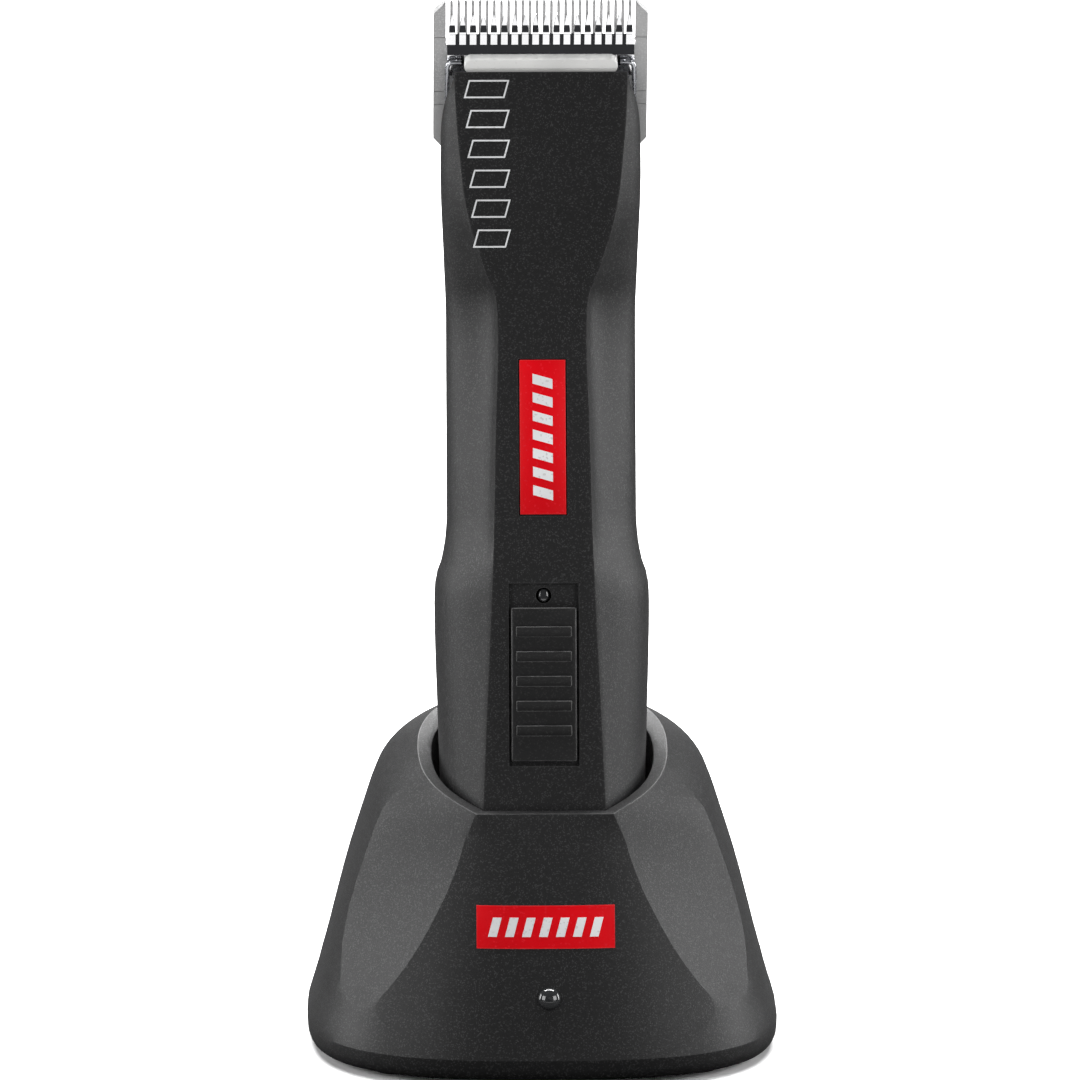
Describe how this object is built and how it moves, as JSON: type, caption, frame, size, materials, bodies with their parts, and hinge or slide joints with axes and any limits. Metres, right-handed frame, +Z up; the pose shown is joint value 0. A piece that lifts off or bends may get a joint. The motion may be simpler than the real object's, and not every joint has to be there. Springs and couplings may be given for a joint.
{
  "type": "hair clipper",
  "caption": "Cordless hair clipper with a clip-on blade set and plug-in battery, standing in its sloping charging stand.",
  "frame": {"origin": "middle of the stand's footprint, on the surface it stands on", "axes": "+Z up, -Y to the side of the switch and the flat front facet, +X to the right seen from the front"},
  "size_m": [0.1088, 0.1092, 0.243],
  "materials": {
    "shell_black": "fine sparked texture, semi matt",
    "inner_plastic": "plain moulded",
    "white_plastic": "smooth",
    "red_enamel": "satin enamel",
    "rubber": "matt",
    "blasted_steel": "fine bead blasted",
    "polished_steel": "polished",
    "zinc_steel": "zinc plated",
    "brass": "bare",
    "aluminium": "die cast",
    "board_green": "solder mask",
    "cell_wrap": "heat shrink sleeve",
    "lens": "clear moulded"
  },
  "bodies": {
    "stand": {"stand_shell": "shell_black", "stand_base_plate": "shell_black", "stand_foot_1": "rubber", "stand_foot_2": "rubber", "stand_foot_3": "rubber", "stand_foot_4": "rubber", "stand_screw_1": "zinc_steel", "stand_screw_2": "zinc_steel", "stand_screw_3": "zinc_steel", "stand_screw_4": "zinc_steel", "stand_badge": "red_enamel", "status_lamp": "lens", "charger_board": "board_green", "dc_inlet": "inner_plastic", "contact_carrier": "inner_plastic"},
    "charge_pin_left": {"charge_pin_left": "brass"},
    "charge_pin_right": {"charge_pin_right": "brass"},
    "battery": {"battery_cap": "shell_black", "battery_case": "inner_plastic", "battery_cell_left": "cell_wrap", "battery_cell_right": "cell_wrap", "battery_pad_left": "brass", "battery_pad_right": "brass"},
    "button_left": {"battery_button_left": "inner_plastic"},
    "button_right": {"battery_button_right": "inner_plastic"},
    "handle": {"front_housing": "shell_black", "rear_housing": "shell_black", "housing_screw_1": "zinc_steel", "housing_screw_2": "zinc_steel", "housing_screw_3": "zinc_steel", "housing_screw_4": "zinc_steel", "handle_badge": "red_enamel", "indicator_lens": "lens", "switch_module": "inner_plastic", "motor_board": "board_green", "battery_terminals": "inner_plastic", "motor_can": "zinc_steel", "motor_end_bell": "inner_plastic", "rear_motor_bearing": "zinc_steel", "front_motor_bearing": "zinc_steel", "lever_pin": "zinc_steel", "drive_frame": "aluminium", "head_plate": "zinc_steel", "hinge_bracket": "zinc_steel", "hinge_pin": "polished_steel"},
    "switch": {"switch_slider": "shell_black"},
    "rotor": {"motor_rotor": "zinc_steel", "eccentric": "brass", "crank_bearing": "zinc_steel"},
    "lever": {"drive_lever": "aluminium", "drive_tip": "white_plastic"},
    "release_button": {"blade_release_button": "inner_plastic"},
    "blade_set": {"hinge_tongue": "zinc_steel", "comb_blade": "blasted_steel", "tension_spring": "zinc_steel", "guide_bar": "white_plastic", "blade_socket": "blasted_steel", "blade_screw_left": "zinc_steel", "blade_screw_right": "zinc_steel"},
    "cutter": {"cutter_blade": "polished_steel"}
  },
  "joints": [
    {"name": "battery_lift", "type": "slide", "parent": "stand", "child": "battery", "axis": [0, 0.2079, 0.9781], "range_m": [0, 0.075]},
    {"name": "handle_off_battery", "type": "slide", "parent": "battery", "child": "handle", "axis": [0, 0.2079, 0.9781], "range_m": [0, 0.056]},
    {"name": "switch_slide", "type": "slide", "parent": "handle", "child": "switch", "axis": [0, 0.2079, 0.9781], "range_m": [0, 0.0045]},
    {"name": "rotor_spin", "type": "hinge", "parent": "handle", "child": "rotor", "pos_m": [0, 0.00707, 0.1396], "axis": [0, 0.2079, 0.9781], "continuous": true},
    {"name": "lever_swing", "type": "hinge", "parent": "handle", "child": "lever", "pos_m": [0, 0.00991, 0.19624], "axis": [0, 0.9781, -0.2079], "range_deg": [-4.1, 4.1]},
    {"name": "blade_hinge", "type": "hinge", "parent": "handle", "child": "blade_set", "pos_m": [0, 0.02029, 0.1962], "axis": [-1, 0, 0], "range_deg": [0, 45]},
    {"name": "cutter_stroke", "type": "slide", "parent": "blade_set", "child": "cutter", "axis": [1, 0, 0], "range_m": [-0.0014, 0.0014]},
    {"name": "release_press", "type": "slide", "parent": "handle", "child": "release_button", "axis": [0, -0.9397, -0.342], "range_m": [0, 0.0015], "stiffness_N_per_m": 800},
    {"name": "button_press_left", "type": "slide", "parent": "battery", "child": "button_left", "axis": [1, 0, 0], "range_m": [0, 0.0012], "stiffness_N_per_m": 600},
    {"name": "button_press_right", "type": "slide", "parent": "battery", "child": "button_right", "axis": [-1, 0, 0], "range_m": [0, 0.0012], "stiffness_N_per_m": 600},
    {"name": "pin_press_left", "type": "slide", "parent": "stand", "child": "charge_pin_left", "axis": [0, -0.2079, -0.9781], "range_m": [0, 0.0008], "stiffness_N_per_m": 300},
    {"name": "pin_press_right", "type": "slide", "parent": "stand", "child": "charge_pin_right", "axis": [0, -0.2079, -0.9781], "range_m": [0, 0.0008], "stiffness_N_per_m": 300}
  ],
  "couplings": [
    {"joint": "cutter_stroke", "follows": "lever_swing", "m_per_rad": 0.01918}
  ]
}
